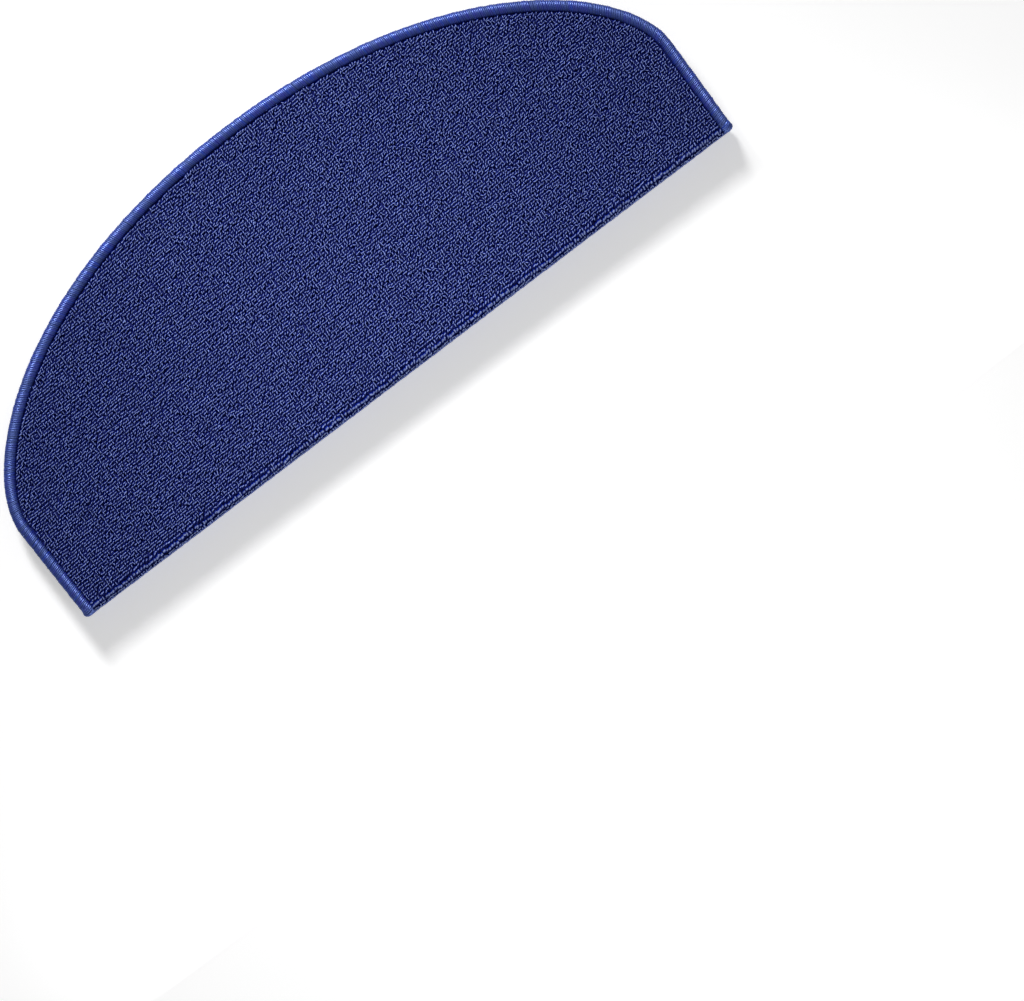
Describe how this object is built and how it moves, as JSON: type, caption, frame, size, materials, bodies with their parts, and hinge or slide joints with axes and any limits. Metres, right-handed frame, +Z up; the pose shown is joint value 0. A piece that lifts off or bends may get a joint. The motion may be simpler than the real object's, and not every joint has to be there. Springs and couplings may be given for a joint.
{
  "type": "stair tread mat",
  "caption": "Half-round stair tread mat of tufted loop pile carpet with a whipped edge, an anti slip backing and a folded nosing that hooks over the front of the step.",
  "frame": {"origin": "on the underside of the tread, midway along it and midway from the front of the nosing to the middle of the back edge", "axes": "+X along the step, +Y to the back of the tread, +Z up out of the pile; the nosing faces -Y and hangs down along -Z"},
  "size_m": [0.65, 0.2457, 0.0355],
  "materials": {
    "loop_pile": "royal blue loop pile",
    "whipping_yarn": "lighter blue yarn with a slight sheen",
    "backing_rubber": "matte grey anti slip foam rubber",
    "strip_steel": "plain galvanised steel strip"
  },
  "bodies": {
    "root": {"loop_pile_carpet": "loop_pile", "anti_slip_backing": "backing_rubber", "nosing_strip": "strip_steel", "edge_whipping": "whipping_yarn"}
  },
  "joints": []
}
